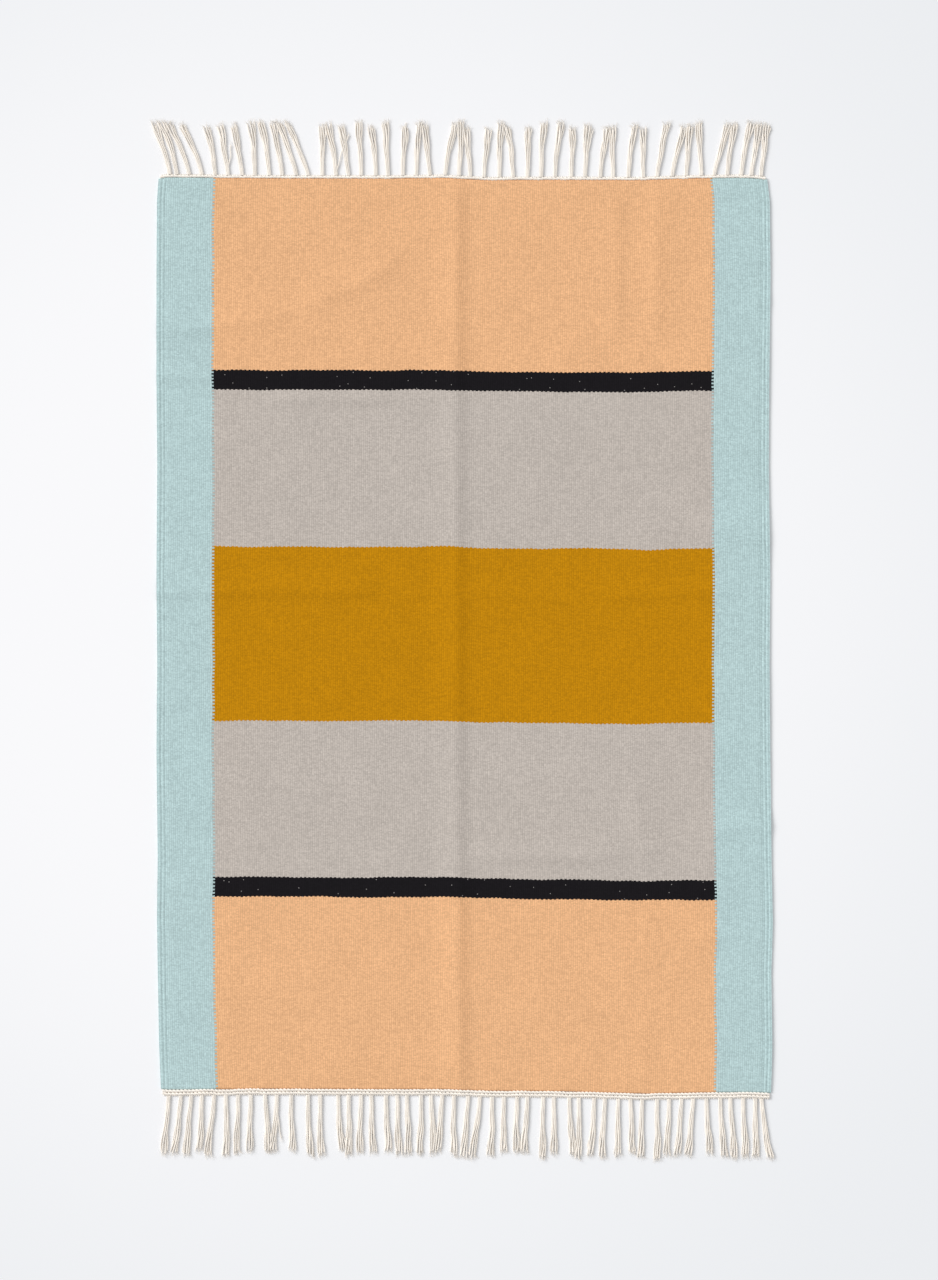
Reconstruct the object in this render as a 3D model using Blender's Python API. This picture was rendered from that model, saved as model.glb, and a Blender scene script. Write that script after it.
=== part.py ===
"""A flat-woven kilim rug lying on the floor: the woven ground, and a fringed heading at each end.

Metres, +Z up. +Y is the end drawn at the top, +X its right-hand side. Every piece is drawn about the
middle of the ground, and the ground's middle sits GROUND_SHIFT from the middle of the whole rug,
because the lower fringe is longer than the upper one.
"""

import math
import random

import bmesh
import bpy

MM = 0.001

# The woven ground, without its headings
WIDTH = 1.200
LENGTH = 1.787
THICKNESS = 0.0040
EDGE_THICKNESS = 0.0026
GROUND_SHIFT = 0.010
WIDEST_COLUMN = 0.046
WIDEST_ROW = 0.048

# Two doubled warps make a rounded rib along each side: distance in from the side, height above the
# flat weave
SELVEDGE_PROFILE = (
    # inset mm, rise mm
    (0.0, -1.4),
    (1.8, 0.0),
    (4.2, 0.6),
    (8.0, -0.7),
    (11.6, 0.4),
    (15.0, -0.6),
    (18.0, 0.0),
)

# How far each side stands out from a straight one, down the rug
SIDE_WANDER = (
    # y mm, left mm, right mm
    (893, -2.5, -5.0),
    (850, 0.5, 0.0),
    (700, 1.5, 1.5),
    (500, 1.5, -1.0),
    (330, 0.0, -2.0),
    (110, 1.5, 1.0),
    (-60, 0.0, -0.5),
    (-230, 1.5, 1.0),
    (-440, -1.0, 3.5),
    (-560, 0.5, 6.0),
    (-660, -1.0, 3.0),
    (-800, -3.5, 5.0),
    (-893, -7.0, 2.5),
)

# How far each end stands out from a straight one, across the rug
END_WANDER = (
    # x mm, upper mm, lower mm
    (-600, 1.0, -4.0),
    (-585, 3.5, -2.5),
    (-400, 1.5, -4.5),
    (-150, 1.0, -3.5),
    (-42, 2.5, -3.5),
    (38, -2.0, -0.5),
    (190, -1.5, 0.5),
    (352, -2.0, 5.0),
    (434, 1.0, 3.5),
    (540, 2.5, 2.0),
    (580, 1.0, 3.0),
    (600, -1.0, 4.0),
)

# Creases and puckers left from folding the rug in quarters. Each runs from start to end, bowed
# sideways at its middle, and falls away on the side to its left and the side to its right.
FOLDS = (
    # start x, y, end x, y mm, left foot, right foot mm, bow mm, height mm
    (-12, 960, -12, -960, 28, 58, 0, 5.0),
    (375, 900, 372, 560, 60, 42, 4, 3.0),
    (298, 900, 306, 560, 26, 72, 0, 2.0),
    (330, -235, 344, -415, 40, 30, 0, 2.2),
    (352, -700, 350, -960, 42, 60, 0, 1.6),
    (-405, 457, -125, 457, 42, 16, 0, 3.4),
    (-130, 457, 10, 462, 36, 16, 0, 1.6),
    (-640, 502, -452, 492, 38, 18, 4, 3.0),
    (-650, 590, -320, 632, 52, 34, -8, 3.2),
    (-335, 640, -110, 745, 50, 34, -14, 3.6),
    (-650, 74, -140, 80, 44, 18, 4, 3.6),
    (-160, 80, 280, 74, 36, 20, 0, 1.2),
    (255, 78, 560, 80, 44, 20, 3, 2.8),
    (300, 205, 640, 186, 78, 66, 10, 2.6),
    (-15, -438, 325, -436, 44, 18, 0, 3.4),
    (305, -410, 392, -442, 30, 18, 6, 3.0),
    (452, -396, 650, -368, 40, 26, 6, 2.8),
    (412, 408, 486, 400, 30, 18, 0, 2.0),
    (420, -592, 556, -598, 34, 20, 4, 2.4),
    (362, -672, 430, -680, 24, 16, 0, 1.8),
    (-560, -300, -140, -345, 110, 90, 20, 1.6),
    (60, 330, 270, 610, 95, 80, 20, 1.5),
    (90, -640, 300, -800, 90, 80, -15, 1.4),
    (-420, -640, -180, -760, 90, 90, 20, 1.4),
)
FOLD_FADE = 0.060
FOLD_BLEND = 3
END_REACH = 0.055
END_SHARE = 0.35

# Lines of the ground's mesh that follow the main creases
CREASE_COLUMNS = (-70, -42, -24, -12, -2, 16, 272, 298, 332, 352, 375, 402, 434)
CREASE_ROWS = (518, 500, 484, 457, 441, 118, 98, 78, 58, -396, -416, -437, -455)

# Each heading is a twined band of cotton: distance out from the ground, height
SEAM_GAP = 0.0005
HEADINGS = {
    # name: end of the rug, tassels, length of the fringe mm, band profile (out mm, height mm)
    "upper_fringe": (1, 45, 98, ((0.0, 3.0), (3.4, 4.6), (6.8, 3.2))),
    "lower_fringe": (-1, 49, 110, ((0.0, 3.0), (3.2, 4.8), (6.4, 3.4), (9.6, 4.8), (12.8, 3.2))),
}
BAND_INSET = 0.004
CORNER_TASSEL = 0.016

# A tassel's section at each share of its way out to its tip
TASSEL_SECTIONS = (
    # share, width at the floor mm, width on top mm, height mm
    (0.00, 9.0, 7.0, 3.2),
    (0.14, 8.6, 5.6, 5.0),
    (0.40, 9.6, 6.4, 4.8),
    (0.70, 10.4, 7.2, 4.2),
    (0.92, 11.6, 8.4, 3.4),
    (1.00, 9.0, 6.0, 2.2),
)

# How far the tassels' tips swing sideways from their roots, across the rug
TASSEL_SWING = (
    # x mm, upper mm, lower mm
    (-590, -28, -9),
    (-510, -38, -8),
    (-450, -18, -7),
    (-340, -17, -6),
    (-300, -36, 5),
    (-260, -10, 3),
    (-160, -8, 3),
    (-100, 7, -4),
    (-60, 0, -9),
    (20, 8, -8),
    (130, 3, -3),
    (230, 8, 3),
    (330, 6, 1),
    (410, 20, 3),
    (450, 6, 6),
    (520, 18, 10),
    (590, 13, 14),
)
SWING_SCATTER = 0.0045
ROOT_SCATTER = 0.0016
TIP_SCATTER = 0.006
SEED = 11


def between(rows, place, column):
    """The value of one column of a table at a place, straight between its rows."""
    rows = sorted(rows)
    if place <= rows[0][0]:
        return rows[0][column]
    for low, high in zip(rows, rows[1:]):
        if place <= high[0]:
            share = (place - low[0]) / (high[0] - low[0])
            return low[column] + share * (high[column] - low[column])
    return rows[-1][column]


def smooth(share):
    """0 to 1, level at both ends."""
    share = min(max(share, 0.0), 1.0)
    return share * share * (3 - 2 * share)


def outline(x, y):
    """The place of a point of a straight rug on the real one, whose sides and ends wander."""
    to_right = x / WIDTH + 0.5
    to_upper = y / LENGTH + 0.5
    left = -between(SIDE_WANDER, y / MM, 1) * MM
    right = between(SIDE_WANDER, y / MM, 2) * MM
    upper = between(END_WANDER, x / MM, 1) * MM
    lower = -between(END_WANDER, x / MM, 2) * MM
    return (
        x + left + to_right * (right - left),
        y + lower + to_upper * (upper - lower),
    )


def fold_height(fold, x, y):
    """How far one fold raises the rug at a point."""
    start_x, start_y, end_x, end_y, left, right, bow, height = (value * MM for value in fold)
    length = math.hypot(end_x - start_x, end_y - start_y)
    along_x = (end_x - start_x) / length
    along_y = (end_y - start_y) / length
    along = (x - start_x) * along_x + (y - start_y) * along_y
    share = along / length
    across = (y - start_y) * along_x - (x - start_x) * along_y - 4 * bow * share * (1 - share)
    foot = left if across > 0 else right
    slope = max(0.0, 1 - abs(across) / foot)
    ends = smooth(along / FOLD_FADE) * smooth((length - along) / FOLD_FADE)
    return height * slope**1.5 * ends


def lift(x, y):
    """How far all the folds together raise the rug's underside. They flatten towards the fringe."""
    total = sum(fold_height(fold, x, y) ** FOLD_BLEND for fold in FOLDS) ** (1 / FOLD_BLEND)
    inside = LENGTH / 2 - abs(y)
    if inside < 0:
        return total * END_SHARE * smooth(1 + inside / END_REACH)
    return total * (END_SHARE + (1 - END_SHARE) * smooth(inside / END_REACH))


def filled(places, widest):
    """The places with more between them, so that no gap is over the widest."""
    line = [places[0]]
    for place in places[1:]:
        steps = math.ceil((place - line[-1]) / widest - 1e-6)
        start = line[-1]
        line += [start + (place - start) * step / steps for step in range(1, steps + 1)]
    return line


def sheet_grid(columns, rows):
    """A bmesh grid whose lines stand at the given places."""
    mesh = bmesh.new()
    bmesh.ops.create_grid(
        mesh, x_segments=len(columns) - 1, y_segments=len(rows) - 1, size=1.0
    )
    for vertex in mesh.verts:
        column = round((vertex.co.x + 1) / 2 * (len(columns) - 1))
        row = round((vertex.co.y + 1) / 2 * (len(rows) - 1))
        vertex.co = (columns[column], rows[row], 0.0)
    return mesh


def thicken(mesh, top_of):
    """Raises a copy of the flat grid to its top face and closes the sides between them."""
    raised = bmesh.ops.extrude_face_region(mesh, geom=mesh.faces[:])["geom"]
    for vertex in (item for item in raised if isinstance(item, bmesh.types.BMVert)):
        vertex.co.z = top_of(vertex.co.x, vertex.co.y)
    bmesh.ops.recalc_face_normals(mesh, faces=mesh.faces[:])


def selvedge_thickness(x):
    """The ground's thickness across the rug, with its two ribs along each side."""
    inset = WIDTH / 2 - abs(x)
    return THICKNESS + between(SELVEDGE_PROFILE, inset / MM, 1) * MM


def ground_mesh():
    """The whole woven ground as one sheet: a flat grid, thickened, then laid along its folds."""
    ribs = [WIDTH / 2 - inset * MM for inset, _ in SELVEDGE_PROFILE]
    bends = {column * MM for column in CREASE_COLUMNS} | {row[0] * MM for row in END_WANDER}
    field = [place for place in bends if abs(place) < ribs[-1]]
    columns = filled(sorted([-place for place in ribs] + field + ribs), WIDEST_COLUMN)
    end = LENGTH / 2
    rows = filled(
        sorted([-end, -end + 0.004, end - 0.004, end] + [row * MM for row in CREASE_ROWS]),
        WIDEST_ROW,
    )
    mesh = sheet_grid(columns, rows)

    def top_of(x, y):
        at_end = LENGTH / 2 - abs(y) < 0.001
        return EDGE_THICKNESS if at_end else selvedge_thickness(x)

    thicken(mesh, top_of)
    for vertex in mesh.verts:
        raised = lift(vertex.co.x, vertex.co.y)
        vertex.co.x, vertex.co.y = outline(vertex.co.x, vertex.co.y)
        vertex.co.z += raised
    return mesh


def tassel_places(count, column, chance):
    """Each tassel's root and its tip's swing. The one at each side is close to the next, as tied."""
    first = WIDTH / 2 - BAND_INSET - CORNER_TASSEL / 2
    inner = first - CORNER_TASSEL
    step = 2 * inner / (count - 3)
    roots = [-first] + [-inner + step * place for place in range(count - 2)] + [first]
    places = []
    for number, root in enumerate(roots):
        if 1 < number < count - 2:
            root += chance.uniform(-1, 1) * ROOT_SCATTER
        swing = between(TASSEL_SWING, root / MM, column) * MM
        swing += chance.uniform(-1, 1) * SWING_SCATTER
        places.append((root, swing))
    return places


def tassel_reach(length, chance):
    """How far out of the band one tassel's tip lies."""
    return length * MM + chance.uniform(-1, 1) * TIP_SCATTER


def draw_tassel(mesh, face, end, root, swing, reach):
    """Draws one tassel out of its face on the band's outer side, in four-sided sections."""
    start = face.calc_center_median()
    for share, floor_width, top_width, height in TASSEL_SECTIONS[1:]:
        face = bmesh.ops.extrude_discrete_faces(mesh, faces=[face])["faces"][0]
        middle = face.calc_center_median()
        x = root + swing * share**1.4
        y = start.y + end * reach * share
        for vertex in face.verts:
            side = 1 if vertex.co.x > middle.x else -1
            on_top = vertex.co.z > middle.z
            width = top_width if on_top else floor_width
            vertex.co.x = x + side * width / 2 * MM
            vertex.co.y = y
            vertex.co.z = height * MM if on_top else 0.0


def fringe_mesh(name):
    """A heading band, one strip along the ground's end, with all its tassels drawn out of it."""
    end, count, length, profile = HEADINGS[name]
    chance = random.Random(SEED + end)
    tassels = tassel_places(count, 1 if end > 0 else 2, chance)
    half_root = TASSEL_SECTIONS[0][1] / 2 * MM
    columns = [-WIDTH / 2 + BAND_INSET]
    for root, _ in tassels:
        columns += [root - half_root, root + half_root]
    columns.append(WIDTH / 2 - BAND_INSET)
    outs = [out * MM for out, _ in profile]
    mesh = sheet_grid(columns, [end * out for out in outs])
    thicken(mesh, lambda x, y: between(profile, abs(y) / MM, 1) * MM)
    outer = [
        face
        for face in mesh.faces
        if all(abs(abs(vertex.co.y) - outs[-1]) < 1e-6 for vertex in face.verts)
    ]
    edge = LENGTH / 2 + SEAM_GAP
    for vertex in mesh.verts:
        out = abs(vertex.co.y)
        x, y = outline(vertex.co.x, end * LENGTH / 2)
        vertex.co.z += lift(vertex.co.x, end * (edge + out))
        vertex.co.x = x
        vertex.co.y = y + end * (SEAM_GAP + out)
    for root, swing in tassels:
        root, _ = outline(root, end * LENGTH / 2)
        face = min(outer, key=lambda side: abs(side.calc_center_median().x - root))
        outer.remove(face)
        draw_tassel(mesh, face, end, root, swing, tassel_reach(length, chance))
    bmesh.ops.recalc_face_normals(mesh, faces=mesh.faces[:])
    return mesh


def finish(name, colour, roughness):
    """A plain textile finish."""
    material = bpy.data.materials.new(name)
    material.use_nodes = True
    shader = material.node_tree.nodes["Principled BSDF"]
    shader.inputs["Base Color"].default_value = (*colour, 1.0)
    shader.inputs["Roughness"].default_value = roughness
    shader.inputs["Metallic"].default_value = 0.0
    return material


def add_piece(name, mesh, material, parent, collection):
    """One named object from its bmesh, under the rug's empty."""
    data = bpy.data.meshes.new(name)
    mesh.to_mesh(data)
    mesh.free()
    data.materials.append(material)
    piece = bpy.data.objects.new(name, data)
    piece.parent = parent
    collection.objects.link(piece)
    return piece


def build():
    """Clears the scene and adds the rug's three pieces."""
    for leftover in list(bpy.data.objects):
        bpy.data.objects.remove(leftover, do_unlink=True)
    collection = bpy.data.collections.new("kilim_rug")
    bpy.context.scene.collection.children.link(collection)
    middle = bpy.data.objects.new("ground_middle", None)
    middle.location = (0.0, GROUND_SHIFT, 0.0)
    collection.objects.link(middle)
    wool = finish("woven wool", (0.62, 0.50, 0.40), 0.95)
    cotton = finish("twined cotton", (0.84, 0.80, 0.73), 0.9)
    add_piece("woven_ground", ground_mesh(), wool, middle, collection)
    for name in HEADINGS:
        add_piece(name, fringe_mesh(name), cotton, middle, collection)


build()
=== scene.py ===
"""The looks of a flat-woven kilim rug with a twined heading and a tasselled fringe at each end.

Metres, +Z up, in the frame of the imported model: +Y is the upper fringe, +X the right-hand selvedge.
The rug's own pattern and folds are drawn about the middle of the woven ground.
"""

import math
import random

import bmesh
import bpy
import numpy as np
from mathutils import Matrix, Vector, noise


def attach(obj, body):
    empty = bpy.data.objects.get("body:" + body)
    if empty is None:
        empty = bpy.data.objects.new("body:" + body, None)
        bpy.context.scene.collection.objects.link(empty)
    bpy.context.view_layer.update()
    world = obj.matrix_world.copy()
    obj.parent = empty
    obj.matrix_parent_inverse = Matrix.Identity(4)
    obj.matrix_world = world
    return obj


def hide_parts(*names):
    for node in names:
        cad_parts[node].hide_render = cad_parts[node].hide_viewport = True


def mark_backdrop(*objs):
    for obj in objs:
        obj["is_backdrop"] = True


MM = 0.001

# The woven ground, as the solids have it
WIDTH = 1.200
LENGTH = 1.787
THICKNESS = 0.0040
EDGE_THICKNESS = 0.0026
GROUND_SHIFT = 0.010
CELL = 0.0070
RIB_CELL = 0.0018
END_CELL = 0.0020

# The weave: warps run along the rug under ribs this far apart, and the wefts cover them in beads
WARP_PITCH = 4.24
BEAD_PITCH = 2.40
BAND_EDGE_MM = (168, 478, 514)
BORDER_INNER_MM = 488
JOIN_TOOTH = 6.63
SELVEDGE_INNER_MM = 584.5

SELVEDGE_PROFILE = (
    # inset mm, rise mm
    (0.0, -1.6),
    (4.0, 0.7),
    (8.0, -0.8),
    (11.6, 0.5),
    (15.0, -0.7),
    (18.0, 0.0),
)

SIDE_WANDER = (
    # y mm, left mm, right mm
    (893, -2.5, -5.0),
    (850, 0.5, 0.0),
    (700, 1.5, 1.5),
    (500, 1.5, -1.0),
    (330, 0.0, -2.0),
    (110, 1.5, 1.0),
    (-60, 0.0, -0.5),
    (-230, 1.5, 1.0),
    (-440, -1.0, 3.5),
    (-560, 0.5, 6.0),
    (-660, -1.0, 3.0),
    (-800, -3.5, 5.0),
    (-893, -7.0, 2.5),
)

END_WANDER = (
    # x mm, upper mm, lower mm
    (-600, 1.0, -4.0),
    (-585, 3.5, -2.5),
    (-400, 1.5, -4.5),
    (-150, 1.0, -3.5),
    (-42, 2.5, -3.5),
    (38, -2.0, -0.5),
    (190, -1.5, 0.5),
    (352, -2.0, 5.0),
    (434, 1.0, 3.5),
    (540, 2.5, 2.0),
    (580, 1.0, 3.0),
    (600, -1.0, 4.0),
)

# The solids' creases and puckers, from folding the rug in quarters
FOLDS = (
    # start x, y, end x, y mm, left foot, right foot mm, bow mm, height mm
    (-12, 960, -12, -960, 28, 58, 0, 5.0),
    (375, 900, 372, 560, 60, 42, 4, 3.0),
    (298, 900, 306, 560, 26, 72, 0, 2.0),
    (330, -235, 344, -415, 40, 30, 0, 2.2),
    (352, -700, 350, -960, 42, 60, 0, 1.6),
    (-405, 457, -125, 457, 42, 16, 0, 3.4),
    (-130, 457, 10, 462, 36, 16, 0, 1.6),
    (-640, 502, -452, 492, 38, 18, 4, 3.0),
    (-650, 590, -320, 632, 52, 34, -8, 3.2),
    (-335, 640, -110, 745, 50, 34, -14, 3.6),
    (-650, 74, -140, 80, 44, 18, 4, 3.6),
    (-160, 80, 280, 74, 36, 20, 0, 1.2),
    (255, 78, 560, 80, 44, 20, 3, 2.8),
    (300, 205, 640, 186, 78, 66, 10, 2.6),
    (-15, -438, 325, -436, 44, 18, 0, 3.4),
    (305, -410, 392, -442, 30, 18, 6, 3.0),
    (452, -396, 650, -368, 40, 26, 6, 2.8),
    (412, 408, 486, 400, 30, 18, 0, 2.0),
    (420, -592, 556, -598, 34, 20, 4, 2.4),
    (362, -672, 430, -680, 24, 16, 0, 1.8),
    (-560, -300, -140, -345, 110, 90, 20, 1.6),
    (60, 330, 270, 610, 95, 80, 20, 1.5),
    (90, -640, 300, -800, 90, 80, -15, 1.4),
    (-420, -640, -180, -760, 90, 90, 20, 1.4),
)
# Small wrinkles that the solids leave out
WRINKLES = (
    (-322, 368, -268, 366, 20, 10, 0, 1.4),
    (320, 570, 352, 536, 14, 18, 4, 2.0),
    (398, -690, 402, -730, 14, 14, 0, 1.6),
    (36, -784, 70, -788, 16, 10, 0, 1.2),
    (150, -794, 186, -792, 14, 10, 0, 1.1),
    (-280, -333, -165, -331, 30, 18, 0, 1.0),
    (560, 640, 640, 655, 40, 24, 6, 1.4),
    (-640, -160, -540, -140, 50, 26, 8, 1.4),
    (-650, -520, -520, -500, 46, 26, 8, 1.5),
    (240, -520, 330, -560, 40, 30, 8, 1.0),
)
# Sharp creases pressed down into the face alone, where the rug was folded the other way
PRESSED = (
    # start x, y, end x, y mm, half width mm, depth mm
    (323, 880, 317, 545, 9, 0.40),
    (331, -225, 335, -430, 7, 0.50),
    (335, -430, 331, -893, 8, 0.28),
    (140, 262, 141, 30, 8, 0.25),
    (-405, 452, -60, 451, 5, 0.45),
    (-300, 371, -262, 369, 5, 0.40),
    (-15, -434, 330, -432, 6, 0.25),
    (420, -597, 556, -603, 6, 0.35),
    (-440, 80, -150, 77, 6, 0.25),
)
FOLD_FADE = 0.060
WRINKLE_FADE = 0.016
FOLD_BLEND = 3
END_REACH = 0.055
END_SHARE = 0.35
# Slight unevenness of the whole cloth: a span in mm and a height in mm
UNEVEN = ((210, 0.9), (70, 0.40), (26, 0.08))

# Each heading is a twined band of cotton cords along the ground's end
SEAM_GAP = 0.0005
HEADINGS = {
    # name: end of the rug, length of the fringe mm, band width mm, cord rows' middles mm
    "upper_fringe": (1, 98, 6.8, (2.0,)),
    "lower_fringe": (-1, 110, 12.8, (2.2, 8.1)),
}
BAND_INSET = 0.004
TASSELS = {
    # root x, tip x, mm from the ground's middle
    "upper_fringe": (
        (-576, -605), (-562, -591), (-538, -576), (-513, -550), (-487, -503), (-462, -476),
        (-434, -450), (-409, -417), (-381, -397), (-356, -372), (-328, -360), (-305, -344),
        (-277, -277), (-250, -266), (-226, -240), (-201, -205), (-172, -181), (-148, -154),
        (-119, -115), (-93, -85), (-66, -77), (-36, -17), (-9, -5), (13, 7),
        (40, 48), (70, 74), (97, 85), (125, 128), (152, 158), (179, 191),
        (211, 213), (238, 244), (268, 281), (293, 293), (323, 336), (352, 352),
        (379, 399), (409, 432), (436, 444), (466, 462), (491, 519), (517, 532),
        (544, 564), (564, 579), (583, 595),
    ),
    "lower_fringe": (
        (-578, -587), (-554, -568), (-534, -544), (-513, -519), (-489, -501), (-466, -466),
        (-442, -444), (-417, -419), (-389, -383), (-366, -374), (-338, -336), (-305, -301),
        (-281, -279), (-246, -238), (-225, -226), (-201, -203), (-181, -177), (-152, -148),
        (-130, -126), (-111, -109), (-83, -87), (-64, -60), (-42, -50), (-19, -19),
        (9, -1), (32, 17), (56, 52), (79, 79), (105, 103), (125, 119),
        (156, 154), (177, 176), (207, 215), (226, 225), (256, 248), (277, 272),
        (303, 301), (327, 330), (350, 346), (379, 379), (403, 399), (427, 419),
        (450, 440), (476, 483), (503, 511), (523, 530), (548, 552), (572, 572),
        (584, 602),
    ),
}
TIP_SCATTER = 0.006
SEED = 11
# Single yarns that have strayed out of their tassel
STRAYS = {
    # name: tassel, swing mm, share of the tassel's length
    "upper_fringe": ((5, 6, 0.62), (13, 26, 0.85), (31, 16, 0.97)),
    "lower_fringe": ((9, 9, 0.8), (21, 10, 0.9), (34, -12, 0.9)),
}
PATH_POINTS = 20
YARN_RADIUS = 0.00115
YARNS = 8

# The photograph, and the camera that looks straight down as it does
PHOTO_MM_PER_PIXEL = WIDTH / MM / 612
PHOTO_SIZE = (938, 1280)
PHOTO_GROUND_MIDDLE = (463.5, 635.0)
CAMERA_HEIGHT = 7.0
SENSOR = 0.036

# The window stands up and to the left. Its light and the fill add up to a plain 1 on the floor
SUN_FROM = (-0.80, 0.45, 0.66)
SUN_STRENGTH = 2.16
SUN_SPREAD = 34
FILL_STRENGTH = 0.60

# Colours of the dyed wools, the cotton and the room, sRGB
MINT = "b5cdce"
PEACH = "e8b486"
MUSTARD = "bf8308"
GREY = "beb5ad"
BLACK = "19171a"
LINT = "8d8987"
COTTON = "fbf4eb"
# The floor carries painted light: FLOOR where it is brightest, left of the rug, fading to painted shade
# towards the corners
FLOOR = "f9f9fb"
FLOOR_PAINTED_SHADE = "ebedf0"
FLOOR_PAINTED_LIGHT_MIDDLE = (-0.35, 0.1, 0.0)
DAYLIGHT = "ffffff"


def linear(colour):
    """An sRGB hex colour as linear RGBA."""
    channels = [int(colour[place : place + 2], 16) / 255 for place in (0, 2, 4)]
    return tuple(
        value / 12.92 if value <= 0.04045 else ((value + 0.055) / 1.055) ** 2.4
        for value in channels
    ) + (1.0,)


def add(tree, kind, inputs=None, **settings):
    """Adds a node. Each input is a value, another node or a node's socket."""
    made = tree.nodes.new(kind)
    for name, value in settings.items():
        setattr(made, name, value)
    for key, value in (inputs or {}).items():
        if isinstance(value, bpy.types.Node):
            value = next(socket for socket in value.outputs if socket.enabled)
        if isinstance(value, bpy.types.NodeSocket):
            tree.links.new(value, made.inputs[key])
        else:
            made.inputs[key].default_value = value
    return made


# Shape of the rug


def between(rows, place, column):
    """The values of one column of a table at the given places, straight between its rows."""
    table = np.array(sorted(rows), float)
    return np.interp(place, table[:, 0], table[:, column])


def smooth(share):
    """0 to 1, level at both ends."""
    share = np.clip(share, 0.0, 1.0)
    return share * share * (3 - 2 * share)


def outline(x, y):
    """The places of points of a straight rug on the real one, whose sides and ends wander."""
    to_right = x / WIDTH + 0.5
    to_upper = y / LENGTH + 0.5
    left = -between(SIDE_WANDER, y / MM, 1) * MM
    right = between(SIDE_WANDER, y / MM, 2) * MM
    upper = between(END_WANDER, x / MM, 1) * MM
    lower = -between(END_WANDER, x / MM, 2) * MM
    return x + left + to_right * (right - left), y + lower + to_upper * (upper - lower)


def fold_height(fold, fade, x, y):
    """How far one fold raises the rug at the given points."""
    start_x, start_y, end_x, end_y, left, right, bow, height = (value * MM for value in fold)
    length = math.hypot(end_x - start_x, end_y - start_y)
    along_x = (end_x - start_x) / length
    along_y = (end_y - start_y) / length
    along = (x - start_x) * along_x + (y - start_y) * along_y
    share = along / length
    across = (y - start_y) * along_x - (x - start_x) * along_y - 4 * bow * share * (1 - share)
    foot = np.where(across > 0, left, right)
    slope = np.clip(1 - np.abs(across) / foot, 0, 1)
    ends = smooth(along / fade) * smooth((length - along) / fade)
    # The crest is a touch rounder than a knife edge
    return height * slope**1.5 * ends


def lift(x, y):
    """How far all the folds together raise the rug's underside. They flatten towards the fringe."""
    x, y = np.asarray(x, float), np.asarray(y, float)
    total = sum(fold_height(fold, FOLD_FADE, x, y) ** FOLD_BLEND for fold in FOLDS)
    total = total + sum(fold_height(fold, WRINKLE_FADE, x, y) ** FOLD_BLEND for fold in WRINKLES)
    total = total ** (1 / FOLD_BLEND)
    inside = LENGTH / 2 - np.abs(y)
    on_ground = END_SHARE + (1 - END_SHARE) * smooth(inside / END_REACH)
    on_fringe = END_SHARE * smooth(1 + inside / END_REACH)
    return total * np.where(inside < 0, on_fringe, on_ground)


def pressed_down(x, y):
    """How far the sharp creases press the face down at the given points."""
    total = np.zeros(len(x))
    for crease in PRESSED:
        start_x, start_y, end_x, end_y, half_width, depth = (value * MM for value in crease)
        length = math.hypot(end_x - start_x, end_y - start_y)
        along_x = (end_x - start_x) / length
        along_y = (end_y - start_y) / length
        along = (x - start_x) * along_x + (y - start_y) * along_y
        across = (y - start_y) * along_x - (x - start_x) * along_y
        slope = np.clip(1 - np.abs(across) / half_width, 0, 1)
        fade = min(FOLD_FADE, length / 3)
        ends = smooth(along / fade) * smooth((length - along) / fade)
        total += depth * slope * ends
    return total


def unevenness(x, y):
    """The cloth's own slight waves, never below the floor."""
    total = np.zeros(len(x))
    for layer, (span, height) in enumerate(UNEVEN):
        waves = [
            noise.noise(Vector((a / span / MM, b / span / MM, 7.0 * layer))) for a, b in zip(x, y)
        ]
        total += np.array(waves) * height * MM
    return np.clip(total - np.percentile(total, 4), 0, None) * smooth(
        (LENGTH / 2 - np.abs(y)) / 0.03
    )


def selvedge_rise(x):
    """How far the two ribs along each side stand above or below the flat weave."""
    inset = (WIDTH / 2 - np.abs(x)) / MM
    rise = np.zeros(len(x))
    for (start, low), (stop, high) in zip(SELVEDGE_PROFILE, SELVEDGE_PROFILE[1:]):
        here = (inset >= start - 1e-6) & (inset <= stop)
        rise[here] = (low + (high - low) * smooth((inset - start) / (stop - start)))[here]
    return rise * MM


def graded(half, cell, rim, rim_cell):
    """Places from -half to +half, closer together within a rim of each end."""
    rims = np.arange(0, rim - 1e-6, rim_cell)
    field = np.linspace(-half + rim, half - rim, round(2 * (half - rim) / cell) + 1)
    return np.concatenate([-half + rims, field, (half - rims)[::-1]])


def new_object(name, mesh):
    piece = bpy.data.objects.new(name, mesh)
    bpy.context.scene.collection.objects.link(piece)
    return piece


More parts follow.
